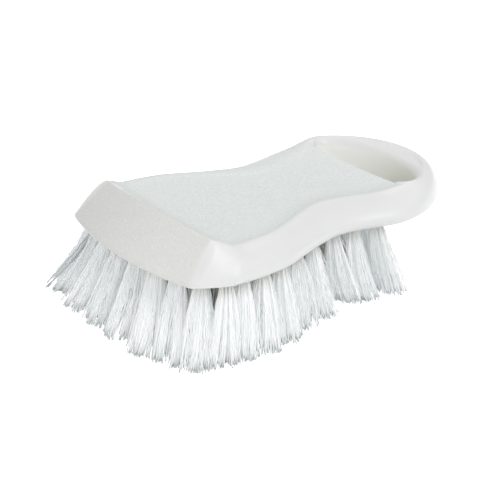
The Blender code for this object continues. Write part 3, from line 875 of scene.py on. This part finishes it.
def block_material():
    material, tree, shader = node_tree("moulded_plastic")
    links = tree.links
    grip, prow, hollow, near, painted_margin_shade, painted_crest_highlight = (
        point_value(tree, name) for name in ("grip", "prow", "hollow", "near", "painted_margin_shade", "painted_crest_highlight")
    )
    place = tree.nodes.new("ShaderNodeTexCoord").outputs["Object"]
    stipple = noise(tree, place, STIPPLE_NOISE)
    cloud = noise(tree, place, CLOUD_NOISE)

    # The top gets painted shade towards its front and near rims.
    top = scaled(tree, blend(tree, stipple, *TOP_COLORS), ranged(tree, painted_margin_shade, MARGIN_PAINTED_SHADE))
    # The wall gets a painted highlight along the near rim.
    wall = scaled(tree, blend(tree, cloud, *WALL_COLORS), ranged(tree, painted_crest_highlight, CREST_PAINTED_HIGHLIGHT))
    # Painted light and shade on the prow: lighter towards the near side, darker towards the far
    # side.
    front = scaled(tree, blend(tree, stipple, *PROW_COLORS), ranged(tree, near, PROW_PAINTED_LIGHT))
    # The hole's wall: painted light on its far side, painted shade towards its near corner.
    hole_painted_light_and_shade = blend(tree, near, *HOLE_PAINTED_LIGHT_AND_SHADE_COLORS)
    smooth_part = blend(tree, hollow, blend(tree, prow, wall, front), hole_painted_light_and_shade)
    links.new(blend(tree, grip, smooth_part, top), shader.inputs["Base Color"])

    # The hole's far wall glows: a painted light.
    glow = combined(tree, "MULTIPLY", ranged(tree, near, HOLE_PAINTED_GLOW), hollow)
    links.new(glow, shader.inputs["Emission Strength"])
    shader.inputs["Emission Color"].default_value = opaque(HOLE_PAINTED_GLOW_COLOR)
    links.new(ranged(tree, grip, BLOCK_ROUGHNESS), shader.inputs["Roughness"])
    shader.inputs["Specular IOR Level"].default_value = BLOCK_SPECULAR

    bump = tree.nodes.new("ShaderNodeBump")
    bump.inputs["Distance"].default_value = BUMP_DISTANCE
    links.new(stipple, bump.inputs["Height"])
    strength = ranged(tree, combined(tree, "ADD", grip, prow), BUMP_STRENGTH)
    links.new(strength, bump.inputs["Strength"])
    links.new(bump.outputs["Normal"], shader.inputs["Normal"])
    return material


def filament_material():
    material, tree, shader = node_tree("bristle")
    shade, tip, deep = (point_value(tree, name) for name in ("shade", "tip", "deep"))
    # Painted shade: tips, strays and far tufts greyer.
    ended = blend(tree, tip, blend(tree, shade, *FILAMENT_COLORS), TIP_PAINTED_SHADE_COLOR)
    # Painted shade at the hidden roots and on the inner tufts.
    tree.links.new(blend(tree, deep, ended, DEEP_PAINTED_SHADE_COLOR), shader.inputs["Base Color"])
    # A painted glow on the filaments, none where shade is painted.
    glow = ranged(tree, combined(tree, "MAXIMUM", deep, tip), FILAMENT_PAINTED_GLOW)
    tree.links.new(glow, shader.inputs["Emission Strength"])
    shader.inputs["Emission Color"].default_value = opaque(FILAMENT_PAINTED_GLOW_COLOR)
    shader.inputs["Roughness"].default_value = FILAMENT_ROUGHNESS
    return material


def add_floor():
    """A white floor: it takes shadows, and glows only to rays that should see plain white."""
    bm = bmesh.new()
    bmesh.ops.create_grid(bm, x_segments=1, y_segments=1, size=FLOOR_HALF_SIZE)
    floor = add_mesh_object("floor", bm)
    material, tree, shader = node_tree("white_floor")
    shader.inputs["Base Color"].default_value = opaque(FLOOR_COLOR)
    shader.inputs["Roughness"].default_value = FLOOR_ROUGHNESS
    rays = tree.nodes.new("ShaderNodeLightPath").outputs
    seen = combined(tree, "MAXIMUM", rays["Is Camera Ray"], rays["Is Glossy Ray"])
    glow = ranged(tree, seen, (0.0, FLOOR_GLOW))
    tree.links.new(glow, shader.inputs["Emission Strength"])
    shader.inputs["Emission Color"].default_value = (1.0, 1.0, 1.0, 1.0)
    floor.data.materials.append(material)


def add_world():
    """A white world, plain white where the camera sees it and dimmer as a light."""
    world = bpy.data.worlds.new("studio")
    bpy.context.scene.world = world
    world.use_nodes = True
    tree = world.node_tree
    background = tree.nodes["Background"]
    background.inputs["Color"].default_value = (1.0, 1.0, 1.0, 1.0)
    rays = tree.nodes.new("ShaderNodeLightPath").outputs
    level = ranged(tree, rays["Is Camera Ray"], WORLD_LEVELS)
    tree.links.new(level, background.inputs["Strength"])


def direction(azimuth, elevation):
    """The way from the target out to a place that is seen at these two angles, in degrees."""
    a, e = math.radians(azimuth), math.radians(elevation)
    return Vector((math.sin(a) * math.cos(e), -math.cos(a) * math.cos(e), math.sin(e)))


def aim(name, data, target, azimuth, elevation, distance):
    """Adds a lamp or camera that looks at the target."""
    obj = bpy.data.objects.new(name, data)
    back = direction(azimuth, elevation)
    obj.location = target + back * distance
    obj.rotation_mode = "QUATERNION"
    obj.rotation_quaternion = (-back).to_track_quat("-Z", "Y")
    bpy.context.scene.collection.objects.link(obj)
    return obj


def add_lamp(name, target, azimuth, elevation, distance, size, watts):
    lamp = bpy.data.lights.new(name, "AREA")
    lamp.shape = "DISK"
    lamp.size = size
    lamp.energy = watts
    aim(name, lamp, target, azimuth, elevation, distance)


def add_camera(target):
    camera = bpy.data.cameras.new("photo_camera")
    camera.lens = CAMERA_LENS
    camera.sensor_width = CAMERA_SENSOR
    camera.clip_end = CAMERA_CLIP_END
    bpy.context.scene.camera = aim(
        "photo_camera", camera, target, CAMERA_AZIMUTH, CAMERA_ELEVATION, CAMERA_DISTANCE
    )


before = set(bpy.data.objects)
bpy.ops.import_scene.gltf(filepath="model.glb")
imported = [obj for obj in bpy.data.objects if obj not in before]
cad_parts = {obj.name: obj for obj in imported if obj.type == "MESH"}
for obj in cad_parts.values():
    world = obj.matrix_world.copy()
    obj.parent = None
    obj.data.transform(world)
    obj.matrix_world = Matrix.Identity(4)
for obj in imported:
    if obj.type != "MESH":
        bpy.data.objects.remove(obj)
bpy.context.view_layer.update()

block_low, block_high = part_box("handle_block")
middle_y = (block_low[1] + block_high[1]) / 2
origin = Vector((block_high[0] - BLOCK_LENGTH / 2, middle_y, block_low[2]))
tuft_nodes = sorted(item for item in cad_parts.items() if item[0] != "handle_block")
roots = [Root(name, node, origin.z) for name, node in tuft_nodes]

block = make_block(origin, roots)
block.data.materials.clear()
block.data.materials.append(block_material())
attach(block, "root")
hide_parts("handle_block")

bristle = filament_material()
rng = np.random.default_rng(SEED)
for root in roots:
    tuft = make_tuft(root, rng, bristle)
    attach(tuft, "root")
    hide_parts(root.name)

target = Vector((origin.x, origin.y, 0.0)) + Vector(TARGET_FROM_BLOCK)
add_floor()
add_world()
for name, settings in LAMPS.items():
    add_lamp(name, target, *settings)
add_camera(target)

scene = bpy.context.scene
scene.view_settings.view_transform = "Standard"
scene.cycles.max_bounces = scene.cycles.diffuse_bounces = LIGHT_BOUNCES
